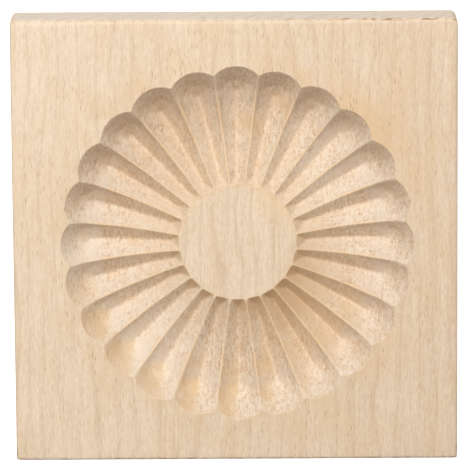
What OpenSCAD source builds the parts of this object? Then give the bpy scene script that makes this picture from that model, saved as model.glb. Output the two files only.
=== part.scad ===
// Wooden cookie mould: a square beech block with a fluted rosette carved into its face.
// The block lies on its back: its base is at z = 0 and centred on the origin, the carved face looks up.
// The grain runs along Y.

/* [Block] */
// Side of the square block
block_side = 150; // [132:1:200]
// Thickness of the block, from its base to the carved face
block_thick = 22; // [18:0.5:40]
// Radius of the sanded easing along the edges of the base and the face
edge_ease = 1.2; // [0.4:0.1:3]
// Radius of the four upright corners
corner_ease = 1.8; // [0.6:0.1:6]

/* [Rosette] */
// Number of flutes, evenly spaced, with one on +Y
flute_count = 24; // [16:2:30]
// Radius of the rosette, from its centre to the tips of the flutes
rosette_r = 59.6; // [54:0.1:64]
// Depth of the flutes' lowest stretch below the face
flute_depth = 12.8; // [10:0.1:14]
// Length of the level stretch of a flute, before its round end
level_run = 4.6; // [1:0.1:8]
// Depth below the face that a flute would rise to at the edge of the disc
inner_depth = 6.1; // [5:0.1:8]
// Every other flute lies this much further out, as the hand sets them
stagger = 0.2; // [0.1:0.05:0.6]

/* [Disc] */
// Distance from the centre to the flat sides of the disc, one for each flute
disc_r = 19.8; // [14:0.1:24]
// Depth of the disc below the face
disc_depth = 4.2; // [2:0.1:5]
// Slope of the wall that drops from the disc into the flutes, in degrees from the face
disc_wall_angle = 50; // [42:1:80]

/* [Gouge] */
// Radius of the gouge's nose, which leaves the round bottom of a flute
nose_r = 1.7; // [0.8:0.1:3]
// Slope of the gouge's lower flanks, in degrees from the face
flank_angle = 44; // [35:1:52]
// Height above the nose at which the flanks turn steeper
shoulder_h = 3.8; // [2.5:0.1:6]
// Slope of the upper flanks, in degrees from the face
wall_angle = 58; // [53:1:75]

/* [Hidden] */
$fn = 96;

// How far the cutters stand out of the face, and run past what trims them
over = 1;
// The swung section is this much taller than the others, and is then cut off level
spare_h = 4;
// The nose stands this much proud of the flanks, so that their outlines cross cleanly
nose_proud = 0.01;
// Degrees by which a flute's sector reaches past the ridge on either side
sector_lap = 0.5;
beech = [0.90, 0.79, 0.65];

// Gouge section: where the flank leaves the nose, where it turns steeper, and its top
base_x = (nose_r - nose_proud) * sin(flank_angle);
base_h = nose_r - (nose_r - nose_proud) * cos(flank_angle);
shoulder_x = base_x + (shoulder_h - base_h) / tan(flank_angle);
top_h = flute_depth + over;

// Half the width of the gouge's section at a height above its nose, past the shoulder
function half_width(h) = shoulder_x + (h - shoulder_h) / tan(wall_angle);

// A flute from its tip inwards: its round end is centred at end_r, and its level stretch ends at low_r
end_r = rosette_r - half_width(flute_depth);
low_r = end_r - level_run;
// From low_r its bottom rises on an arc towards the disc, with a radius in whole hundredths
reach = low_r - disc_r;
rise = flute_depth - inner_depth;
sweep_r = round(100 * (reach * reach + rise * rise) / (2 * rise)) / 100;

// Where the wall of the disc stands at a height above the flute's lowest stretch, counted from low_r
function disc_wall_x(h) = -reach - (h - flute_depth + disc_depth) / tan(disc_wall_angle);

// The section swings until the top of its cut has passed that wall
swing_angle = atan2(over - disc_wall_x(top_h), sweep_r - top_h);
// The air over the disc is cleared to past its edge, where the ridges lie lower than the disc
clear_r = disc_r + reach / 8;

// Section of the gouge up to height h, with its nose at the origin
module gouge_section(h) {
    x = half_width(h);
    translate([0, nose_r]) circle(r = nose_r);
    polygon([
        [-x, h], [-shoulder_x, shoulder_h], [-base_x, base_h],
        [base_x, base_h], [shoulder_x, shoulder_h], [x, h]
    ]);
}

// Rising stretch: the section swung on an arc about an axis across the flute.
// It is cut off level at its top, and by the sloping wall of the disc at its inner end.
module rising_cut() {
    swung_h = top_h + spare_h;
    width = 2 * half_width(swung_h) + 2 * over;
    intersection() {
        translate([0, 0, sweep_r])
            rotate([-90, 90, 0])
                rotate_extrude(angle = swing_angle)
                    translate([sweep_r, 0]) rotate(90) gouge_section(swung_h);
        rotate([90, 0, 0])
            linear_extrude(height = width, center = true)
                polygon([
                    [disc_wall_x(-over), -over], [0, -over], [0, top_h], [disc_wall_x(top_h), top_h]
                ]);
    }
}

// Level stretch, from low_r to end_r
module level_cut() {
    rotate([90, 0, 90]) linear_extrude(height = level_run) gouge_section(top_h);
}

// Round end: the section turned about an upright axis
module end_cut() {
    translate([level_run, 0, 0])
        rotate([0, 0, -90])
            rotate_extrude(angle = 180)
                intersection() {
                    gouge_section(top_h);
                    translate([0, -over]) square([half_width(top_h) + over, top_h + 2 * over]);
                }
}

// All that the gouge takes for one flute, along +X
module flute_cut() {
    translate([low_r, 0, block_thick - flute_depth])
        union() {
            rising_cut();
            level_cut();
            end_cut();
        }
}

// The share of the block that holds one flute along +X, a little past the ridges beside it
module sector() {
    half = 180 / flute_count + sector_lap;
    x = block_side / 2;
    linear_extrude(height = block_thick + over)
        polygon([[0, 0], [x, -x * tan(half)], [x, x * tan(half)]]);
}

// Air over the disc
module disc_cut() {
    translate([0, 0, block_thick - disc_depth]) cylinder(r = clear_r, h = disc_depth + over);
}

// Rectangle with round corners
module eased_rect(w, h, r) {
    translate([-w / 2 + r, -h / 2]) square([w - 2 * r, h]);
    translate([-w / 2, -h / 2 + r]) square([w, h - 2 * r]);
    for (x = [-1, 1], y = [-1, 1]) translate([x * (w / 2 - r), y * (h / 2 - r)]) circle(r = r);
}

// Block with every edge eased: what three eased bars along X, Y and Z have in common
module eased_block() {
    translate([0, 0, block_thick / 2])
        intersection() {
            linear_extrude(height = block_thick, center = true)
                eased_rect(block_side, block_side, corner_ease);
            rotate([90, 0, 0]) linear_extrude(height = block_side, center = true)
                eased_rect(block_side, block_thick, edge_ease);
            rotate([90, 0, 90]) linear_extrude(height = block_side, center = true)
                eased_rect(block_side, block_thick, edge_ease);
        }
}

// One piece of beech, with everything but the block itself cut away
module mould_block() {
    color(beech)
        difference() {
            eased_block();
            disc_cut();
            for (k = [0:flute_count - 1])
                rotate(90 + k * 360 / flute_count)
                    intersection() {
                        translate([stagger * (k % 2), 0, 0]) flute_cut();
                        sector();
                    }
        }
}

mould_block();
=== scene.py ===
# %% [markdown]
# # A carved wooden cookie mould
# The object is one square block of raw beech with a fluted rosette carved into its face. Nothing on it is
# added or joined: every line that shows is a place where wood was taken away. So this lesson makes one mesh
# in the way a workshop would make the mould. It spins a blank, squares it, and then lets one gouge cut the
# flutes, with the small differences from flute to flute that a hand leaves.

# %% Load the frame
import math
import random

import bmesh
import bpy
from mathutils import Matrix, Vector, noise


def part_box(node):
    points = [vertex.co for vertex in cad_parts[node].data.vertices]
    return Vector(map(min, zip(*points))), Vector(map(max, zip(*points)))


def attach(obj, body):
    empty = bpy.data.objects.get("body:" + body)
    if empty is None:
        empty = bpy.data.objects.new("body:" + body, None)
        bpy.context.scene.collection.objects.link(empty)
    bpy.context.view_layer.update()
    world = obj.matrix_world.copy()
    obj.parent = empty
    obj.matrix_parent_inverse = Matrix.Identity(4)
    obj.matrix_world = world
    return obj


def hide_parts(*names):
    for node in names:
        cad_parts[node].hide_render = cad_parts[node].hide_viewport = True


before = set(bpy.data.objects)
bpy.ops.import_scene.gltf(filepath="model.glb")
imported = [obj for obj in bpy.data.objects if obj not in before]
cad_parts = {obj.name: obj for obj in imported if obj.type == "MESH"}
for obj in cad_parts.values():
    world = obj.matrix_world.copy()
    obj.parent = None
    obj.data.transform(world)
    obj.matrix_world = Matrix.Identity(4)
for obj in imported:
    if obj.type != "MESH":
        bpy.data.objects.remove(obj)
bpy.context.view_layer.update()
MM = 0.001
block_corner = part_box("mould_block")[1] / MM
half_side = block_corner.x
face_z = block_corner.z
print(f"{len(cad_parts)} node, a block {2 * half_side:.1f} mm a side and {face_z:.1f} mm thick")

# %% [markdown]
# ## The camera
# The photograph looks almost straight down on the carved face from far away with a long lens, a little from
# the grain's upper end, so that a strip of that side shows. The tilt and the distance were worked out from
# the height of that strip and from how much narrower the block's far side is. The lens then follows from the
# scale of the picture, which is counted in pixels per millimetre at the face.

# %% Place the camera
PHOTO_PIXELS = 466
SENSOR_MM = 36.0
PIXELS_PER_MM = 2.976
CAMERA_DISTANCE = 2100.0
CAMERA_TILT = math.radians(9.5)
CAMERA_ROLL = math.radians(-0.32)
CAMERA_SIGHT = 10
AIM = Vector((-0.60, 2.60, face_z))


def add_camera():
    data = bpy.data.cameras.new("camera")
    data.sensor_width = SENSOR_MM
    data.lens = SENSOR_MM * PIXELS_PER_MM * CAMERA_DISTANCE / PHOTO_PIXELS
    data.clip_end = CAMERA_SIGHT
    camera = bpy.data.objects.new("camera", data)
    back = Vector((0, math.sin(CAMERA_TILT), math.cos(CAMERA_TILT)))
    turn = Matrix.Rotation(-CAMERA_TILT, 4, "X") @ Matrix.Rotation(CAMERA_ROLL, 4, "Z")
    camera.matrix_world = Matrix.Translation((AIM + back * CAMERA_DISTANCE) * MM) @ turn
    bpy.context.scene.collection.objects.link(camera)
    bpy.context.scene.camera = camera
    return camera


camera = add_camera()
print(f"lens {camera.data.lens:.0f} mm at {CAMERA_DISTANCE / 1000:.2f} m")

# %% [markdown]
# ## The stage
# The block lies on a plain white floor, wide enough to fill the picture from every side. The floor lies a
# hair below the base, because two faces at the same height flicker through each other. A lamp strong enough
# to turn it white would bleach the wood too, so the floor glows instead, and to the camera alone.

# %% The floor
FLOOR_SIZE = 8.0
FLOOR_GAP = 0.05
FLOOR_PAINT = (0.80, 0.80, 0.80, 1)
FLOOR_GLOW = 0.86


def add_floor():
    mesh = bpy.data.meshes.new("floor")
    bm = bmesh.new()
    bmesh.ops.create_grid(bm, x_segments=1, y_segments=1, size=FLOOR_SIZE / 2)
    bm.to_mesh(mesh)
    bm.free()
    floor = bpy.data.objects.new("floor", mesh)
    floor.location.z = -FLOOR_GAP * MM
    bpy.context.scene.collection.objects.link(floor)
    return floor


def white_floor_material():
    material = bpy.data.materials.new("white_floor")
    material.use_nodes = True
    nodes, links = material.node_tree.nodes, material.node_tree.links
    nodes.clear()
    output = nodes.new("ShaderNodeOutputMaterial")
    paint = nodes.new("ShaderNodeBsdfDiffuse")
    paint.inputs["Color"].default_value = FLOOR_PAINT
    glow = nodes.new("ShaderNodeEmission")
    seen = nodes.new("ShaderNodeLightPath")
    strength = nodes.new("ShaderNodeMath")
    strength.operation = "MULTIPLY"
    strength.inputs[1].default_value = FLOOR_GLOW
    both = nodes.new("ShaderNodeAddShader")
    links.new(seen.outputs["Is Camera Ray"], strength.inputs[0])
    links.new(strength.outputs[0], glow.inputs["Strength"])
    links.new(paint.outputs[0], both.inputs[0])
    links.new(glow.outputs[0], both.inputs[1])
    links.new(both.outputs[0], output.inputs["Surface"])
    return material


floor = add_floor()
floor.data.materials.append(white_floor_material())
print(f"floor {FLOOR_SIZE:.0f} m wide")

# %% [markdown]
# ## The light
# The light is that of a product photograph: one big soft lamp above the grain's upper end, and a bright, even
# room. Both are set so that a flat surface facing up comes out in about the colour that its material has.

# %% The room and the lamp
KEY_WATTS = 9.2
KEY_SIZE = 0.65
KEY_PLACE = Vector((-0.10, 0.53, 0.98))
ROOM_STRENGTH = 0.40


def light_the_room():
    world = bpy.data.worlds.new("room")
    world.use_nodes = True
    background = world.node_tree.nodes["Background"]
    background.inputs["Color"].default_value = (1, 1, 1, 1)
    background.inputs["Strength"].default_value = ROOM_STRENGTH
    bpy.context.scene.world = world


def add_key_lamp():
    data = bpy.data.lights.new("key_lamp", "AREA")
    data.shape = "DISK"
    data.size = KEY_SIZE
    data.energy = KEY_WATTS
    lamp = bpy.data.objects.new("key_lamp", data)
    lamp.location = KEY_PLACE
    lamp.rotation_euler = KEY_PLACE.to_track_quat("Z", "Y").to_euler()
    bpy.context.scene.collection.objects.link(lamp)


light_the_room()
add_key_lamp()
bpy.context.scene.view_settings.view_transform = "Standard"
print(f"key lamp {KEY_PLACE.length:.2f} m away")

# %% [markdown]
# ## The gouge
# A V-shaped gouge with a small round nose makes every flute. The flutes could be sculpted one by one, but
# then they would not look like the work of one tool. So the tool's section is a formula: it gives the height
# of the cut surface at any distance from the middle, by a small arc, a 44 degree flank, and a steeper flank
# near the face. The flanks are those of the solid. The nose is sharper here and so cuts a hair deeper, as the
# valleys of the real flutes are hardly more than a crease.

# %% The gouge's section
NOSE_R = 0.9
FLANK = math.radians(44)
FLANK_START = 0.69
SHOULDER_H = 3.8
WALL = math.radians(58)
nose_x = NOSE_R * math.sin(FLANK)
nose_centre_h = NOSE_R / math.cos(FLANK) - FLANK_START * math.tan(FLANK)
shoulder_x = FLANK_START + SHOULDER_H / math.tan(FLANK)


def gouge_height(across):
    across = abs(across)
    if across < nose_x:
        return nose_centre_h - math.sqrt(NOSE_R**2 - across**2)
    if across < shoulder_x:
        return (across - FLANK_START) * math.tan(FLANK)
    return SHOULDER_H + (across - shoulder_x) * math.tan(WALL)


def gouge_half_width(height):
    return shoulder_x + (height - SHOULDER_H) / math.tan(WALL)


print(f"the cut is {2 * shoulder_x:.1f} mm wide at its shoulders")

# %% [markdown]
# ## The flutes
# There are 24 flutes. Each starts at a round tip, runs level, rises on an arc and stops at the wall of the
# disc in the middle. A carver sets each one by eye, so each has its own small lean, reach and depth, and the
# disc does not lie quite in the middle of its flutes. The leans are in degrees and the reaches in
# millimetres, counted round from the flute on +X. The flutes that run along the grain reach a little further
# out: since the carving, the wood has shrunk across its grain.

# %% The plan of the rosette
FLUTES = 24
FLUTE_DEPTH = 12.8
ROSETTE_R = 59.6
LEVEL_RUN = 4.6
INNER_DEPTH = 6.1
DISC_R = 19.8
DISC_DEPTH = 4.2
DISC_WALL = math.radians(50)
ROSETTE_CENTRE = Vector((0.92, -1.15))
ROSETTE_TURN = math.radians(0.12)
DISC_SHIFT = Vector((0.1, 0.1))
PITCH = 2 * math.pi / FLUTES
LEANS = (
    -0.14, 0.03, 0.05, 0.28, -0.04, 0.20, 0.01, -0.08, 0.32, 0.39, 0.14, 0.02,
    0.03, 0.10, -0.25, -0.04, -0.37, -0.37, 0.23, -0.02, -0.04, -0.24, -0.26, 0.08,
)
REACHES = (
    0.00, 0.18, 0.29, 0.40, 0.54, 0.49, 0.75, 0.52, 0.60, 0.44, 0.35, 0.10,
    0.06, 0.22, -0.07, 0.01, 0.33, 0.42, 0.60, 0.48, 0.09, 0.06, 0.19, -0.05,
)
DIPS = (-0.2, 0.1)
BITES = (0.25, 0.5)
HAND_SEED = 7

end_r = ROSETTE_R - gouge_half_width(FLUTE_DEPTH)
low_r = end_r - LEVEL_RUN
rise = FLUTE_DEPTH - INNER_DEPTH
sweep_r = ((low_r - DISC_R) ** 2 + rise**2) / (2 * rise)

hand = random.Random(HAND_SEED)
flutes = [
    {
        "axis": k * PITCH + ROSETTE_TURN + math.radians(LEANS[k]),
        "out": REACHES[k],
        "dip": hand.uniform(*DIPS),
        "bite": hand.uniform(*BITES),
    }
    for k in range(FLUTES)
]
print(f"flutes level from {low_r:.1f} to {end_r:.1f} mm, rising on a {sweep_r:.1f} mm arc")

# %% [markdown]
# ## The depth of a flute
# The gouge digs in steeply at the tip, runs level, and comes up on an arc. Its path could be cut out of the
# block with a boolean, but that leaves slivers in the mesh, over which a curved surface shades badly. So the
# depth is worked out at any spot, and an even mesh is set to it.

# %% The depth of one flute anywhere in the rosette
def flute_depth(flute, r, angle):
    along = r * math.cos(angle - flute["axis"]) - flute["out"]
    across = r * math.sin(angle - flute["axis"])
    depth = FLUTE_DEPTH + flute["dip"]
    if along > end_r:
        return depth - gouge_height(math.hypot(along - end_r, across))
    height = gouge_height(across)
    if along > low_r:
        return depth - height
    swung = (sweep_r - height) ** 2 - (along - low_r) ** 2
    return math.sqrt(max(swung, 0)) - sweep_r + depth


print(f"the first flute is {flute_depth(flutes[0], DISC_R, flutes[0]['axis']):.1f} mm deep at the disc")

# %% [markdown]
# ## The ridges
# Two neighbouring flutes meet in a ridge where they are equally deep. A mesh shows a ridge crisply only if a
# line of its edges runs along it, so the ridges are found first, by halving the angle between two flutes
# again and again until both depths agree.

# %% Find the ridges
HALVINGS = 24
RIDGE_FIRST = 16
RIDGE_LAST = 64


def clamp(value, low=0, high=1):
    return min(max(value, low), high)


def halve(low, high, is_low):
    """Closes in on the place between low and high where is_low stops being true."""
    for _ in range(HALVINGS):
        middle = (low + high) / 2
        if is_low(middle):
            low = middle
        else:
            high = middle
    return (low + high) / 2


def find_ridge(k, r):
    this, after = flutes[k], flutes[(k + 1) % FLUTES]
    turn = 2 * math.pi if k == FLUTES - 1 else 0
    return halve(
        this["axis"], after["axis"] + turn,
        lambda angle: flute_depth(this, r, angle) > flute_depth(after, r, angle - turn),
    )


ridge_table = [[find_ridge(k, r) for r in range(RIDGE_FIRST, RIDGE_LAST + 1)] for k in range(FLUTES)]


def ridge_angle(k, r):
    place = clamp(r - RIDGE_FIRST, 0, RIDGE_LAST - RIDGE_FIRST)
    step = min(int(place), RIDGE_LAST - RIDGE_FIRST - 1)
    row = ridge_table[k]
    return row[step] + (row[step + 1] - row[step]) * (place - step)


print(f"first ridge at {math.degrees(ridge_angle(0, low_r)):.2f} degrees")

# %% [markdown]
# ## Columns
# The mesh has 24 columns of faces to each flute. They stand closer near the valley, where the nose leaves a
# round bottom, and near the ridge, so that its worn arris is a thin line.

# %% The columns of the mesh
SHARES = (0, 0.05, 0.11, 0.18, 0.26, 0.35, 0.45, 0.55, 0.66, 0.77, 0.87, 0.95, 1)
HALF_COLUMNS = len(SHARES) - 1
FLUTE_COLUMNS = 2 * HALF_COLUMNS
COLUMNS = FLUTE_COLUMNS * FLUTES


def column_place(column):
    """The flute that a column lies in, and its share of the way from the valley to a ridge, -1 to 1."""
    k, step = divmod(column + HALF_COLUMNS, FLUTE_COLUMNS)
    step -= HALF_COLUMNS
    share = SHARES[abs(step)]
    return k % FLUTES, -share if step < 0 else share


def column_angle(k, share, r):
    axis = flutes[k]["axis"]
    if share < 0:
        turn = 2 * math.pi if k == 0 else 0
        return axis + share * (axis - ridge_angle(k - 1, r) + turn)
    return axis + share * (ridge_angle(k, r) - axis)


def column_depth(k, share, r):
    return flute_depth(flutes[k], r, column_angle(k, share, r))


print(f"{COLUMNS} columns")

# %% [markdown]
# ## Where the surfaces meet
# Along each column the surfaces change at three places: the edge of the disc, the foot of its wall, and the
# rim, where the flute leaves the face. The foot and the rim are found in the same way as the ridges. Each
# flute takes a small bite out of the disc's edge, which leaves the disc with 24 points. The rim wanders a
# little, as a hand-cut line does.

# %% Disc edge, wall foot and rim
DISC_POINT = 0.2
WALL_REACH = 8
RIM_FIRST = 50
RIM_LAST = 63
RIM_WANDER = 0.12
RIM_WAVES = 40
RIM_LAYER = 0.1


def disc_edge(k, share):
    angle = column_angle(k, share, DISC_R)
    shift = DISC_SHIFT.x * math.cos(angle) + DISC_SHIFT.y * math.sin(angle)
    return DISC_R + shift - flutes[k]["bite"] * (1 - share * share) + DISC_POINT


def wall_foot(k, share, edge):
    slope = math.tan(DISC_WALL)
    return halve(
        edge, edge + WALL_REACH,
        lambda r: DISC_DEPTH + (r - edge) * slope < column_depth(k, share, r),
    )


def rim(k, share):
    r = halve(RIM_FIRST, RIM_LAST, lambda r: column_depth(k, share, r) > 0)
    angle = column_angle(k, share, r)
    wander = noise.noise(Vector((math.cos(angle), math.sin(angle), RIM_LAYER)) * RIM_WAVES)
    return r + RIM_WANDER * wander


def measure_column(column):
    k, share = column_place(column)
    edge = disc_edge(k, share)
    return {"k": k, "share": share, "edge": edge, "foot": wall_foot(k, share, edge), "rim": rim(k, share)}


columns = [measure_column(column) for column in range(COLUMNS)]
print(f"rim from {min(c['rim'] for c in columns):.1f} to {max(c['rim'] for c in columns):.1f} mm")

# %% [markdown]
# ## The blank
# A plain square grid could carry the carving too, but its lines would cross the ridges and fray them. A wheel
# has lines that run with the flutes. It starts as one straight line of points. The line is spun through the
# width of one flute, and that sector is copied round until the wheel is full. Every circle of the wheel is a
# station that later lies in its own place: on the disc, on its wall, along the flutes, on the face, round the
# eased edge, down the side or under the base. Beside each sharp edge lies one station at a hair's distance,
# so that the edge shows as a thin worn line and not as a broad soft one.

# %% Stations and blank
ZONES = {"disc": 8, "wall": 7, "floor": 84, "face": 9, "ease": 6, "side": 6, "heel": 4, "base": 4}
BLANK_INNER = 10
WELD = 0.01
stations = [(zone, step + 1, count) for zone, count in ZONES.items() for step in range(count)]


def spin_blank():
    bm = bmesh.new()
    line = [bm.verts.new((BLANK_INNER + n, 0, 0)) for n in range(len(stations))]
    for a, b in zip(line, line[1:]):
        bm.edges.new((a, b))
    bmesh.ops.spin(
        bm, geom=bm.verts[:] + bm.edges[:], cent=(0, 0, 0), axis=(0, 0, 1), angle=PITCH, steps=FLUTE_COLUMNS,
    )
    sector = bm.verts[:] + bm.edges[:] + bm.faces[:]
    for k in range(1, FLUTES):
        copy = bmesh.ops.duplicate(bm, geom=sector)["geom"]
        copied = [part for part in copy if isinstance(part, bmesh.types.BMVert)]
        bmesh.ops.rotate(bm, verts=copied, cent=(0, 0, 0), matrix=Matrix.Rotation(k * PITCH, 3, "Z"))
    bmesh.ops.remove_doubles(bm, verts=bm.verts, dist=WELD)
    return bm


bm = spin_blank()
print(f"{len(stations)} stations, {len(bm.verts)} points")

# %% [markdown]
# ## The outline of the block
# Outside the rim the circles turn into squares. The saw left the block a hair narrower at the lower end of
# the grain. Its arrises are sanded by hand: most along the upper end, more at one spot there, and the two
# lower corners hardly at all.

# %% The outline of the block
SIDE_EASE = 1.1
UPPER_EASE = 1.75
UPPER_FROM = 0.69
UPPER_FADE = 0.08
RUBBED_SPOT = math.radians(131)
RUBBED_WIDTH = math.radians(6)
RUBBED_MORE = 0.8
EASE_WANDER = 0.15
EASE_WAVES = 9
EASE_LAYER = 2
UPPER_CORNER = 1.9
LOWER_CORNER = 0.6
LEAST_CORNER = 0.4
LEFT_TAPER = 0.85
RIGHT_TAPER = 0.20


def edge_ease(angle):
    """How far the arris is rounded, on the side of the block that lies at this angle from its middle."""
    upper = clamp((math.sin(angle) - UPPER_FROM) / UPPER_FADE)
    rubbed = RUBBED_MORE * math.exp(-(((angle - RUBBED_SPOT) / RUBBED_WIDTH) ** 2))
    feel = EASE_WANDER * noise.noise(Vector((math.cos(angle), math.sin(angle), EASE_LAYER)) * EASE_WAVES)
    return SIDE_EASE + (UPPER_EASE - SIDE_EASE) * upper + rubbed + feel


def outline_point(angle, inset):
    """Where a ray from the middle meets the square with round corners, this far inside the block's sides."""
    half = half_side - inset
    ease = max((UPPER_CORNER if math.sin(angle) > 0 else LOWER_CORNER) - inset, LEAST_CORNER)
    c, s = math.cos(angle), math.sin(angle)
    reach = half / max(abs(c), abs(s))
    x, y = reach * c, reach * s
    flat = half - ease
    if abs(x) > flat and abs(y) > flat:
        along = flat * (abs(c) + abs(s))
        reach = along + math.sqrt(along**2 - 2 * flat**2 + ease**2)
        x, y = reach * c, reach * s
    taper = LEFT_TAPER if x < 0 else RIGHT_TAPER
    return Vector((x * (1 - taper / half_side * (0.5 - y / (2 * half_side))), y))


print(f"upper arris {edge_ease(math.pi / 2):.2f} mm, lower arris {edge_ease(-math.pi / 2):.2f} mm")

# %% [markdown]
# ## The carved surface
# The wall of the disc and the flute meet in a small fillet, where the tool's corner could not reach. Raw
# beech tears a little under the gouge, and the tears are drawn out along the grain, so the surface gets small
# long ripples. They die out towards the disc's edge and the rim, which keeps both clean. The ridges are
# rubbed down by a hair.

# %% The radius of each station and the depth there
LIP = 0.22
FILLET = 0.7
RIDGE_BLUNT = 0.12
DISC_CROWDING = 0.7
NEAR_DISC = DISC_R + 2
TORN_SIZE, TORN_LAYER, TORN_HEIGHT = (0.9, 2.0), 3, 0.05
WAVE_SIZE, WAVE_LAYER, WAVE_HEIGHT = (4, 6), 9, 0.10


def station_radius(column, zone, step, count):
    edge, foot, end = column["edge"], column["foot"], column["rim"]
    if zone == "disc":
        return edge if step == count else (edge - LIP) * (step / (count - 1)) ** DISC_CROWDING
    if zone == "wall":
        lip = min(LIP, (foot - edge) / count)
        return edge + lip + (foot - edge - lip) * (step - 1) / (count - 1)
    return end if step == count else foot + (end - LIP - foot) * step / (count - 1)


def carved_depth(column, r):
    """The wall or the flute, whichever is shallower, with a fillet between them. The wall is never proud."""
    wall = DISC_DEPTH + (r - column["edge"]) * math.tan(DISC_WALL)
    floor = column_depth(column["k"], column["share"], r)
    near = max(1 - abs(wall - floor) / FILLET, 0)
    blunt = RIDGE_BLUNT if abs(column["share"]) == 1 else 0
    least = DISC_DEPTH if r < NEAR_DISC else 0
    return max(min(wall, floor) - near * near * FILLET / 4 + blunt, least)


def tool_marks(spot):
    torn = noise.noise(Vector((spot.x / TORN_SIZE[0], spot.y / TORN_SIZE[1], TORN_LAYER)))
    wave = noise.noise(Vector((spot.x / WAVE_SIZE[0], spot.y / WAVE_SIZE[1], WAVE_LAYER)))
    return TORN_HEIGHT * torn + WAVE_HEIGHT * wave


def carved_point(column, zone, step, count):
    r = station_radius(column, zone, step, count)
    angle = column_angle(column["k"], column["share"], r)
    spot = ROSETTE_CENTRE + r * Vector((math.cos(angle), math.sin(angle)))
    depth = DISC_DEPTH
    if zone == "floor" and step == count:
        depth = 0
    elif zone != "disc":
        calm = min(max(r - column["edge"], 0), max(column["rim"] - r, 0), 1)
        depth = max(carved_depth(column, r) + tool_marks(spot) * calm, 0)
    return Vector((spot.x, spot.y, face_z - depth)), r


print(f"first valley {carved_depth(columns[0], low_r):.1f} mm deep at its lowest")

# %% [markdown]
# ## The rest of the block
# From the rim the face runs out to the square. A quarter round eases its edge, the side drops to a second
# quarter round at the heel, and the base runs inwards. The base needs no detail, as the block lies on it.

# %% The face, the edges, the sides and the base
BASE_REACH = 0.9


def block_point(column, even, zone, step, count):
    t = step / count
    turn = t * math.pi / 2
    ease = edge_ease(even)
    if zone == "face":
        angle = column_angle(column["k"], column["share"], column["rim"])
        out = Vector((math.cos(angle), math.sin(angle)))
        start = ROSETTE_CENTRE + (column["rim"] + LIP) * out
        spot = start.lerp(outline_point(even, ease), (step - 1) / (count - 1))
        return Vector((spot.x, spot.y, face_z))
    if zone == "ease":
        spot = outline_point(even, ease * (1 - math.sin(turn)))
        return Vector((spot.x, spot.y, face_z - ease + ease * math.cos(turn)))
    if zone == "side":
        spot = outline_point(even, 0)
        return Vector((spot.x, spot.y, face_z - ease + t * (SIDE_EASE + ease - face_z)))
    if zone == "heel":
        spot = outline_point(even, SIDE_EASE * (1 - math.cos(turn)))
        return Vector((spot.x, spot.y, SIDE_EASE * (1 - math.sin(turn))))
    spot = outline_point(even, SIDE_EASE) * (1 - BASE_REACH * t)
    return Vector((spot.x, spot.y, 0))


print(f"right side at x = {block_point(columns[0], 0, 'side', 1, 2).x:.2f} mm")

# %% [markdown]
# ## Notes for the wood
# Painted highlights on arrises, painted shade in creases and in the nook, dark lines and torn edges lie where
# the shape puts them. They could be painted onto an image, but here the shape is known by formula. So each
# point of the mesh carries notes, which are plain numbers, and the material reads them. The notes say whether
# the wood was carved, whether it gets a painted highlight, a fine dark line that is painted shade in the
# creases, the painted shade of the nook below the disc, or the painted shade at the low end of a valley,
# whether it is a flute's tip, whether fibres are frayed there or the upper arris gets a painted highlight,
# and which way it leans: towards the upper end of the grain or sideways.

# %% Notes inside the rosette
NOTES = ("carved", "painted_highlight", "shade_and_dark_line", "nook_shade", "low", "tip", "frayed_and_highlight", "lean", "side")
# The valleys of the lower left flutes get a dark line of painted shade, a few others a painted highlight, and
# the rest a faint one
VALLEY_LINES = {k: ("shade_and_dark_line", 0.8) for k in range(11, 18)}
VALLEY_LINES |= {k: ("painted_highlight", 0.5) for k in (7, 8, 20, 21, 22)}
OTHER_VALLEYS = ("painted_highlight", 0.1)
UPPER_FLUTES = range(4, 9)
# Shares of the way from a valley to a ridge
VALLEY_SHARE = 0.1
FRAYED_SHARE = 0.75
RIDGE_SHARE = 0.9
# How far from the centre a note starts, and where it is full
RIDGE_HIGHLIGHT = (55, 47)
TIP = (38, 44)
# Where the painted shade along the low valleys of the upper flutes starts and is full
LONG_LOW_SHADE = (end_r - 9, end_r - 4)
# How far from its line a note reaches
NOOK_SHADE_WIDTH = 2.5
LOW_SHADE_WIDTH = 4
FRAYED_WIDTH = 4
# Where along Y the disc's dark line starts and is full, and where the rim's line of painted shade starts
DISC_LINE_Y = (0, 12)
UPPER_RIM_Y = 25


def fade(value, start, full):
    """0 at the start, 1 where it is full, and an even slope between."""
    return clamp((value - start) / (full - start))


def ridge_highlight(share, r):
    """Full on the inner ridges, weaker right beside them, and hardly there near the rim."""
    return (1 if share == 1 else 0.45) * max(fade(r, *RIDGE_HIGHLIGHT), 0.15)


def disc_edge_notes(y, last):
    """The disc's edge gets a painted highlight all round, and above the middle a dark line lies along it."""
    upper = fade(y, *DISC_LINE_Y)
    if last:
        return {"painted_highlight": 0.9, "shade_and_dark_line": 0.3 + 0.7 * upper}
    return {"painted_highlight": 0.5 * upper, "shade_and_dark_line": 0.4 * upper}


def floor_notes(column, share, r):
    k = column["k"]
    near_rim = max(1 - (column["rim"] - r) / FRAYED_WIDTH, 0)
    # Painted shade at the foot of the disc's wall and at the low end of the flute
    notes = {
        "nook_shade": max(1 - (r - column["foot"]) / NOOK_SHADE_WIDTH, 0),
        "low": max(1 - abs(r - end_r + 0.5) / LOW_SHADE_WIDTH, 0),
        "tip": fade(r, *TIP),
        "frayed_and_highlight": near_rim * fade(share, FRAYED_SHARE, 1),
    }
    # In the upper flutes the low end's painted shade runs further in along the valley
    if share < VALLEY_SHARE and k in UPPER_FLUTES and r < end_r:
        notes["low"] = fade(r, *LONG_LOW_SHADE)
    # The valley's own line: painted shade or a painted highlight, as VALLEY_LINES gives
    if share == 0:
        line, strength = VALLEY_LINES.get(k, OTHER_VALLEYS)
        notes[line] = strength * fade(r, end_r + 1, end_r)
    return notes


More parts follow.
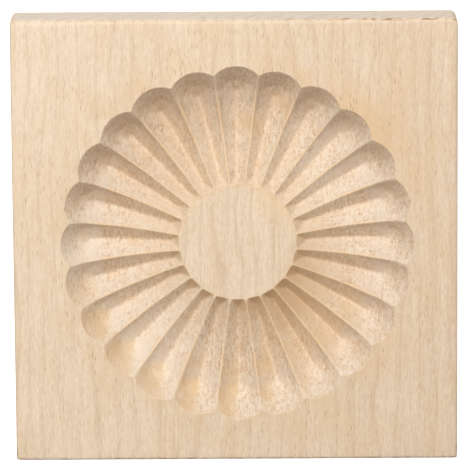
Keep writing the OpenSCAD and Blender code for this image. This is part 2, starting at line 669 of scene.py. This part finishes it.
def rosette_notes(column, zone, step, count, spot, r):
    share = abs(column["share"])
    if zone == "disc":
        return disc_edge_notes(spot.y, step == count) if step >= count - 1 else {}
    # At the rim: a faint painted highlight, and along the upper flutes a line of painted shade where the end
    # walls face away from the lamp
    if zone == "floor" and step == count:
        return {"painted_highlight": 0.3, "shade_and_dark_line": 0.6 if spot.y > UPPER_RIM_Y else 0}
    notes = {"carved": 1}
    # Painted highlight along the ridges
    if share > RIDGE_SHARE:
        notes["painted_highlight"] = ridge_highlight(share, r)
    # The disc's wall gets the painted shade of the nook in full
    return notes | ({"nook_shade": 1} if zone == "wall" else floor_notes(column, share, r))


print(f"{len(NOTES)} notes, {len(VALLEY_LINES)} flutes with a valley line of their own")

# %% [markdown]
# ## The block's own notes
# The arrises across the grain show broken fibres. The lower one has a dark line along it, painted shade where
# the arris turns away from the lamp, darkened further by the saw's burn. The upper one has a dark line that
# is faint on the left and grows to the right, and a pale strip between it and the face, frayed fibres with a
# painted highlight.

# %% Notes on the eased edges
END_Y = 70
CORNER_X = 74.8
ABOVE_LINE = 2
UPPER_LINE_X = -10
UPPER_LINE_GROWTH = 1 / 40


def edge_notes(zone, step, count, spot):
    if zone != "ease" or step == count or abs(spot.y) <= END_Y or abs(spot.x) >= CORNER_X:
        return {}
    # Along the lower arris: a dark line of painted shade, with the saw's burn
    if spot.y < 0:
        return {"shade_and_dark_line": 1.3 if step > ABOVE_LINE else 0.3}
    # Along the upper arris: a dark line, and nearer the face a painted highlight over frayed fibres
    if step > ABOVE_LINE:
        return {"shade_and_dark_line": clamp((spot.x - UPPER_LINE_X) * UPPER_LINE_GROWTH, 0.35, 1.2)}
    return {"frayed_and_highlight": 0.4}


print(f"notes on {ZONES['ease'] - 1} stations of each eased edge")

# %% [markdown]
# ## Squaring and carving
# Now each point of the wheel moves to its place and takes its notes. Its distance from the middle tells its
# station, and its angle tells its column.

# %% Move every point
note = {name: bm.verts.layers.float.new(name) for name in NOTES}

for point in bm.verts:
    zone, step, count = stations[round(point.co.length) - BLANK_INNER]
    n = round(math.atan2(point.co.y, point.co.x) / (2 * math.pi) * COLUMNS) % COLUMNS
    column = columns[n]
    if zone in ("disc", "wall", "floor"):
        spot, r = carved_point(column, zone, step, count)
        notes = rosette_notes(column, zone, step, count, spot, r)
    else:
        spot = block_point(column, n * 2 * math.pi / COLUMNS, zone, step, count)
        notes = edge_notes(zone, step, count, spot)
    for name, value in notes.items():
        point[note[name]] = value
    point.co = spot * MM
print(f"lowest point of the carving at z = {min(p.co.z for p in bm.verts if p[note['carved']]) / MM:.1f} mm")

# %% [markdown]
# ## Closing the block
# The wheel still has a hole in the middle of the disc and another in the middle of the base. Each is filled
# with one face, which is poked so that it becomes a fan of triangles. The last two notes on each point are
# read from the finished surface: how much the wood there faces the upper end of the grain, and how much it
# faces sideways.

# %% Close and finish the mesh
holes = bmesh.ops.holes_fill(bm, edges=[e for e in bm.edges if e.is_boundary], sides=0)["faces"]
bmesh.ops.poke(bm, faces=holes)
bmesh.ops.recalc_face_normals(bm, faces=bm.faces)
for face in bm.faces:
    face.smooth = True
for point in bm.verts:
    point[note["lean"]] = point.normal.y
    point[note["side"]] = point.normal.x
mesh = bpy.data.meshes.new("carved_block")
bm.to_mesh(mesh)
bm.free()
block = bpy.data.objects.new("carved_block", mesh)
bpy.context.scene.collection.objects.link(block)
print(f"{len(mesh.polygons)} faces")

# %% [markdown]
# ## The beech
# A flat picture of wood would smear down the walls of the flutes. So the material is a solid block of wood in
# the block's own coordinates, and the grain runs on from the face over the edges and down into the flutes. It
# is built up in layers, as a grainer paints wood: a pattern says where a tone goes, and the tone is blended
# over what is there. All sizes are in millimetres.

# %% Small helpers for the wood
beech = bpy.data.materials.new("raw_beech")
beech.use_nodes = True
nodes, links = beech.node_tree.nodes, beech.node_tree.links
shader = nodes["Principled BSDF"]


def add(kind, values, **settings):
    """A new node with its settings, and with each named input set to a value or joined to a socket."""
    node = nodes.new("ShaderNode" + kind)
    for name, value in settings.items():
        setattr(node, name, value)
    for name, value in values.items():
        if isinstance(value, bpy.types.NodeSocket):
            links.new(value, node.inputs[name])
        else:
            node.inputs[name].default_value = value
    return node


def reckon(operation, *terms):
    return add("Math", dict(enumerate(terms)), operation=operation).outputs[0]


def times(first, *others):
    for other in others:
        first = reckon("MULTIPLY", first, other)
    return first


def weigh(total, *parts):
    """Adds each pattern to the total by its weight."""
    for pattern, weight in parts:
        total = reckon("MULTIPLY_ADD", pattern, weight, total)
    return total


def ramp(value, low, high, start=0.0, end=1.0):
    """Start where the value is low, end where it is high, and an even slope between."""
    names = ("Value", "From Min", "From Max", "To Min", "To Max")
    return add("MapRange", dict(zip(names, (value, low, high, start, end)))).outputs[0]


def blend(share, under, tone):
    """The tone laid over what is under it, as strongly as the share says."""
    share_input, under_input, tone_input = 0, 6, 7
    values = {share_input: share, under_input: under, tone_input: tone}
    return add("Mix", values, data_type="RGBA").outputs[2]


print(f"{len(nodes)} nodes to begin with")

# %% [markdown]
# ## Where a spot lies in the wood
# Every pattern starts from a place in the block, from a distance to the rosette's middle, or from a note.
# Soft noise at that place is stretched into fibres: it changes fast across the grain and slowly along it.

# %% Places, notes and stretched noise
def scaled(vector, scale):
    return add("VectorMath", {0: vector, 1: scale}, operation="MULTIPLY").outputs[0]


place_mm = scaled(add("TexCoord", {}).outputs["Object"], (1 / MM,) * 3)
place = add("SeparateXYZ", {0: place_mm})
x, y, z = place.outputs
from_centre = add("VectorMath", {0: place_mm, 1: (*ROSETTE_CENTRE, 0)}, operation="SUBTRACT").outputs[0]
outward = add("VectorMath", {0: from_centre}, operation="LENGTH").outputs["Value"]
carved, painted_highlight, shade_and_dark_line, nook_shade, low, tip, frayed_and_highlight, lean, side = (
    add("Attribute", {}, attribute_name=name).outputs["Fac"] for name in NOTES
)


def stretched(wide, long, tall):
    """The place in the wood, counted in steps of this many millimetres across, along and up."""
    return scaled(place_mm, (1 / wide, 1 / long, 1 / tall))


def even_noise(values):
    """Soft noise, spread from its usual middle band to about -1 to 1."""
    return ramp(add("TexNoise", values | {"Scale": 1.0}).outputs["Fac"], 0.25, 0.75, -1, 1)


def fibres(wide, long, tall, detail=2.0, curl=0.0):
    return even_noise({"Vector": stretched(wide, long, tall), "Detail": detail, "Distortion": curl})


def near_spot(spot_x, spot_y, radius):
    """1 at this place on the block, fading out over the radius along a wavy edge."""
    wave = 4
    away = add("VectorMath", {0: scaled(place_mm, (1, 1, 0)), 1: (spot_x, spot_y, 0)}, operation="DISTANCE")
    away = reckon("MULTIPLY_ADD", fibres(7, 14, 7), wave, away.outputs["Value"])
    values = {"Value": away, "From Min": radius, "From Max": 0.0}
    return add("MapRange", values, interpolation_type="SMOOTHSTEP").outputs[0]


print(f"{len(nodes)} nodes for places and notes")

# %% [markdown]
# ## The patterns in the wood
# A yearly ring is pale at its start and darkens towards its end, so the rings are a saw-tooth wave across the
# board. On the disc, which lies deeper in the block, they run a little aslant. Bands, streaks and threads are
# the grain at three sizes. Where the gouge went against the grain, the fibres came out torn and curly, and
# the last patterns are made for that.

# %% Rings, grain and torn fibres
RINGS_PER_MM = 0.16
RINGS_PER_MM_DOWN = 0.10
RINGS_ASLANT = 0.022
RING_WANDER = 0.9

on_disc = ramp(outward, 24, 20)
ring = weigh(times(x, RINGS_PER_MM), (z, RINGS_PER_MM_DOWN), (times(on_disc, y), RINGS_ASLANT))
ring = reckon("FRACT", weigh(ring, (fibres(22, 80, 22), RING_WANDER)))
bands = fibres(4.5, 170, 11, detail=1.0)
streaks = fibres(0.9, 17, 2.0)
threads = fibres(0.38, 2.1, 0.6, detail=3.0)
clouds = fibres(10, 22, 10)
patches = fibres(6, 8, 6)
lumps = fibres(1.6, 2.6, 1.6)
saw_marks = fibres(12, 5, 0.40)
torn_threads = fibres(0.38, 2.1, 3.0, detail=3.0)
curls = fibres(0.55, 0.8, 0.55, curl=1.5)
wisps = ramp(reckon("ABSOLUTE", fibres(1.3, 1.7, 1.3, curl=0.6)), 0.32, 0.0)
hollows = ramp(reckon("ABSOLUTE", fibres(1.7, 1.3, 1.7, curl=0.6)), 0.30, 0.0)
print(f"a ring every {1 / RINGS_PER_MM:.2f} mm")

# %% [markdown]
# ## The planed wood
# The face, the disc and the sides are planed. Their tone lies between a pale and a deep one, as the grain
# says, and deepens a little from the upper left of the board to its lower right. Warmer clouds lie over it,
# with an ochre one near the rim at the upper right and a faint ochre halo all round the rosette. End grain
# soaks up light, so the two ends are greyer, with the marks of the saw.

# %% The planed wood
PALE_WOOD = (0.880, 0.705, 0.525, 1)
DEEP_WOOD = (0.690, 0.505, 0.340, 1)
WARM_WOOD = (0.860, 0.620, 0.360, 1)
OCHRE_WOOD = (0.770, 0.530, 0.300, 1)
END_GREY = (0.810, 0.710, 0.605, 1)
END_BROWN = (0.560, 0.430, 0.310, 1)

grain = weigh(0.44, (bands, 0.12), (streaks, 0.21), (threads, 0.38), (clouds, 0.12))
grain = weigh(grain, (ramp(ring, 0.68, 0.98), weigh(0.30, (on_disc, 0.06))))
# Deeper towards the lower right: partly painted light, as from a lamp further to the left, partly the board's
# own tone
aslant = weigh(x, (y, -0.25))
grain = reckon("ADD", ramp(aslant, -94, 94, -0.24, 0.20), grain)
planed = blend(grain, PALE_WOOD, DEEP_WOOD)
planed = blend(ramp(clouds, 0.0, 1.0, 0.0, 0.3), planed, WARM_WOOD)
planed = blend(times(near_spot(44, 36, 22), 0.8), planed, OCHRE_WOOD)
planed = blend(times(near_spot(17, 13, 14), 0.5), planed, WARM_WOOD)
halo = times(ramp(outward, 76, 66, 0.0, 0.45), ramp(patches, -0.6, 0.7), ramp(outward, 55, 60))
planed = blend(halo, planed, OCHRE_WOOD)

end_grain = ramp(reckon("ABSOLUTE", lean), 0.75, 0.98)
end_brown = weigh(ramp(ring, 0.4, 0.97, 0.0, 0.25), (ramp(saw_marks, -0.2, 1.0), 0.55))
planed = blend(times(end_grain, 0.8), planed, blend(end_brown, END_GREY, END_BROWN))
print(f"pale tone {PALE_WOOD[:3]}, deep tone {DEEP_WOOD[:3]}")

# %% [markdown]
# ## The cut wood
# In the flutes the grain is cut at every angle. Slopes that face the upper end of the grain, towards the
# lamp, came out clean and pale, and those that face its lower end are rougher and deeper in tone; the paler
# and deeper tones are partly painted light and shade. So the weight of most patterns depends on the lean. The
# tool's own fine lines run along the flutes, which takes a noise that is laid out by angle and distance from
# the centre.

# %% The tone of the cut wood
CUT_PALE = (0.835, 0.700, 0.552, 1)
CUT_DEEP = (0.700, 0.515, 0.345, 1)
CUT_WHITE = (0.890, 0.780, 0.650, 1)
CUT_DARK = (0.500, 0.350, 0.220, 1)
TOOL_LINES_ROUND = 90
TOOL_LINES_OUT = 0.12

flat_place = add("SeparateXYZ", {0: from_centre})
turned = reckon("ARCTAN2", flat_place.outputs[1], flat_place.outputs[0])
tool_path = add("CombineXYZ", {0: times(turned, TOOL_LINES_ROUND), 1: times(outward, TOOL_LINES_OUT)})
tool_lines = even_noise({"Vector": tool_path.outputs[0]})

torn = weigh(
    ramp(lean, 0.5, -0.4, 0.45, 0.95),
    (near_spot(0, -44, 34), 0.20),
    (tip, ramp(lean, 0.2, -0.6, 0.30, -0.50)),
)
# Paler where the cut faces the lamp and deeper where it faces away: partly painted light and shade, partly
# the two sides of the grain
cut_grain = weigh(
    ramp(lean, 0.75, -0.75, 0.16, 0.88),
    (curls, ramp(lean, 0.4, -0.5, 0.45, 0.20)),
    (wisps, ramp(lean, 0.3, -0.5, -0.50, -0.35)),
    (hollows, ramp(lean, 0.3, -0.5, 0.55, 0.30)),
    (torn_threads, torn),
    (lumps, 0.32),
    (streaks, 0.18),
    (tool_lines, 0.20),
)
cut_wood = blend(cut_grain, CUT_PALE, CUT_DEEP)
cut_wood = blend(ramp(cut_grain, 0.9, 1.7, 0.0, 0.7), cut_wood, CUT_DARK)
cut_wood = blend(ramp(cut_grain, 0.1, -0.6, 0.0, 0.7), cut_wood, CUT_WHITE)
print(f"cut wood from {CUT_PALE[:3]} to {CUT_DEEP[:3]}")

# %% [markdown]
# ## The zones of the cut wood
# Wood is never one colour: a brown zone lies below and right of the disc, which is partly painted shade, pale
# ones lie on the left, and small ochre marks sit in two of the upper flutes. A zone of painted shadow lies in
# the upper tips, and a zone of painted light on the shaded flanks at the upper right. Each zone is a soft
# spot on the block with its place, its radius, how strongly it shows, and its tone. They are laid on in
# order, the last on top.

# %% The zones of the cut wood
BROWN_WOOD = (0.600, 0.380, 0.205, 1)
CUT_WARM = (0.780, 0.575, 0.365, 1)
LOW_SHADE_GREY = (0.750, 0.670, 0.570, 1)
TIP_SHADE_BROWN = (0.530, 0.405, 0.300, 1)
BROWN_AND_SHADE_ZONES = (
    # Below and right of the disc: partly the wood's brown, partly painted shade where the flutes turn from
    # the lamp
    (19, -16, 27, 0.55, BROWN_WOOD),
    (23, -27, 26, 0.35, OCHRE_WOOD),
    (14, -22, 15, 0.40, BROWN_WOOD),
    (-17, 43, 18, 0.25, OCHRE_WOOD),
    (-28, 24, 32, 0.22, BROWN_WOOD),
    # Painted shadow of the rim on the upper tips, with their darker torn end grain
    (-5, 42, 14, 0.25, TIP_SHADE_BROWN),
)
MARKS_PALE_AND_LIGHT_ZONES = (
    (4.1, 38.7, 6, 0.60, OCHRE_WOOD),
    (16.4, 44.5, 5, 0.50, OCHRE_WOOD),
    (-30, -39, 27, 0.50, CUT_WHITE),
    (-54, -5, 14, 0.35, CUT_WHITE),
    # Painted light on the shaded flanks of the upper right flutes
    (28, 27, 24, ramp(lean, 0.2, -0.4, 0.0, 0.5), CUT_WHITE),
)


def lay_zones(wood, zones):
    for spot_x, spot_y, radius, share, tone in zones:
        wood = blend(times(near_spot(spot_x, spot_y, radius), share), wood, tone)
    return wood


cut_wood = blend(ramp(patches, 0.2, 1.0, 0.0, 0.3), cut_wood, WARM_WOOD)
cut_wood = blend(ramp(outward, 40, 26, 0.0, 0.35), cut_wood, CUT_WARM)
# Painted shade, greyer, at the low ends of all but the upper flutes
cut_wood = blend(times(low, ramp(y, 40, 20, 0.0, 0.50)), cut_wood, LOW_SHADE_GREY)
cut_wood = lay_zones(cut_wood, BROWN_AND_SHADE_ZONES)
# Painted shadow of the rim, with darker torn end grain, at the low ends of the upper flutes
cut_wood = blend(times(low, ramp(y, 28, 44, 0.0, 0.45)), cut_wood, TIP_SHADE_BROWN)
cut_wood = lay_zones(cut_wood, MARKS_PALE_AND_LIGHT_ZONES)
# Painted shade on the disc's wall and its foot, where they face away from the lamp
cut_wood = blend(times(nook_shade, ramp(lean, 0.0, -0.6, 0.0, 0.70)), cut_wood, BROWN_WOOD)
wood = blend(carved, planed, cut_wood)
print(f"{len(BROWN_AND_SHADE_ZONES) + len(MARKS_PALE_AND_LIGHT_ZONES)} zones")

# %% [markdown]
# ## Flecks
# The small dark dashes of beech are the ends of its rays. A Voronoi pattern cuts the board into long cells,
# and some of them get a dash in the middle. The dashes are fainter near the board's edge, on the disc and in
# the carving, and the upright sides show none, because there the rays are cut along their length.

# %% The flecks of the rays
FLECK_BROWN = (0.38, 0.21, 0.10, 1)


def flecks(wide, long, size, few):
    """Short dark dashes, one in some of the cells of this size: the higher few is, the fewer there are."""
    cells = add("TexVoronoi", {"Vector": stretched(wide, long, 1), "Scale": 1.0}, voronoi_dimensions="2D")
    there = ramp(add("SeparateColor", {"Color": cells.outputs["Color"]}).outputs[0], few, few + 0.1)
    return times(ramp(cells.outputs["Distance"], size, size * 0.4), there)


upright = ramp(reckon("MAXIMUM", reckon("ABSOLUTE", side), end_grain), 0.6, 0.9)
dashes = times(
    reckon("MAXIMUM", flecks(1.0, 7.0, 0.16, 0.50), flecks(1.7, 14, 0.10, 0.45)),
    ramp(fibres(1.5, 6, 3), -0.7, 0.1, 0.2, 1.0),
    ramp(outward, 92, 66, 0.45, 1.0),
    ramp(outward, 30, 50, 0.40, 1.0),
    ramp(reckon("MAXIMUM", carved, upright), 0, 1, 1.0, 0.25),
    ramp(reckon("SUBTRACT", upright, carved), 0, 1, 1.0, 0.0),
)
wood = blend(times(dashes, ramp(clouds, -0.6, 0.5, 0.25, 0.75)), wood, FLECK_BROWN)
print(f"{len(nodes)} nodes so far")

# %% [markdown]
# ## Bruised tips, painted shade lines, cracks and painted highlights
# Where the gouge entered the wood, at the tips of the lower flutes, the fibres are bruised to ochre. Dark
# broken lines lie in the creases, where they are painted shade, and along some edges. Hair cracks run across
# the
# flutes: they are the borders between the cells of a second Voronoi pattern, which shows only here and there.
# Last come the frayed fibres below the rim, with a painted highlight on the upper arris, and the painted
# highlights on the arrises and some valleys, thin golden lines.

# %% Bruised tips, painted shade lines, cracks and painted highlights
TIP_OCHRE = (0.75, 0.52, 0.28, 1)
HIGHLIGHT_GOLD = (0.95, 0.66, 0.38, 1)

bruised = times(
    ramp(lean, -0.35, 0.10),
    ramp(side, -0.05, 0.35, 0.0, 0.75),
    ramp(y, -5, -32),
    ramp(x, -5, 20, 0.9, 0.45),
    tip,
    ramp(weigh(patches, (curls, 0.3)), -1.2, 0.3, 0.35, 1.0),
    ramp(low, 0.3, 0.8, 1.0, 0.7),
)
wood = blend(bruised, wood, TIP_OCHRE)
broken = ramp(fibres(2.8, 1.0, 0.8), -0.2, 0.4, 0.0, 0.7)
# Painted shade: dark broken lines in the creases, and dark lines along the disc's edge and the arrises
wood = blend(times(shade_and_dark_line, broken), wood, FLECK_BROWN)

wander = add("TexNoise", {"Vector": stretched(3, 3, 3), "Scale": 1.0}).outputs["Color"]
bent = add("VectorMath", {0: stretched(6, 8, 6), 1: wander}, operation="ADD").outputs[0]
hairs = add("TexVoronoi", {"Vector": bent, "Scale": 1.0}, feature="DISTANCE_TO_EDGE").outputs["Distance"]
here_and_there = ramp(fibres(5, 5, 5), 0.10, 0.42, 0.0, 0.50)
cracks = times(ramp(hairs, 0.022, 0.005), here_and_there, ramp(outward, 57, 49, 0.35, 1.0), carved)
wood = blend(cracks, wood, FLECK_BROWN)

# Frayed fibres below the rim, and on the upper arris a painted highlight
wood = blend(times(frayed_and_highlight, ramp(curls, -0.3, 0.4, 0.0, 0.8)), wood, CUT_WHITE)
# Painted highlight: thin golden lines on the ridges, the rims, the disc's edge and some valleys
wood = blend(times(painted_highlight, ramp(lumps, -0.8, 0.8, 0.45, 0.95)), wood, HIGHLIGHT_GOLD)
print(f"{len(nodes)} nodes so far")

# %% [markdown]
# ## The finish
# Raw beech has no varnish, so the finish is rough and dull. A very small bump gives the fibres their touch,
# stronger where the wood was carved than where it was planed.

# %% Join the wood to the shader
ROUGHNESS = 0.75
SPECULAR = 0.3
BUMP_STRENGTH = 0.6
BUMP_HEIGHT = 0.05

rough = weigh(threads, (curls, ramp(carved, 0, 1, 0.1, 1.0)))
bump = add("Bump", {"Height": rough, "Strength": BUMP_STRENGTH, "Distance": BUMP_HEIGHT * MM})
links.new(wood, shader.inputs["Base Color"])
links.new(bump.outputs["Normal"], shader.inputs["Normal"])
shader.inputs["Roughness"].default_value = ROUGHNESS
shader.inputs["Specular IOR Level"].default_value = SPECULAR
mesh.materials.append(beech)
print(f"{len(nodes)} nodes in the beech")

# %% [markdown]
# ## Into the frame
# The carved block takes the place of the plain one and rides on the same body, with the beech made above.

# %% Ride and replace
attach(block, "root")
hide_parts("mould_block")
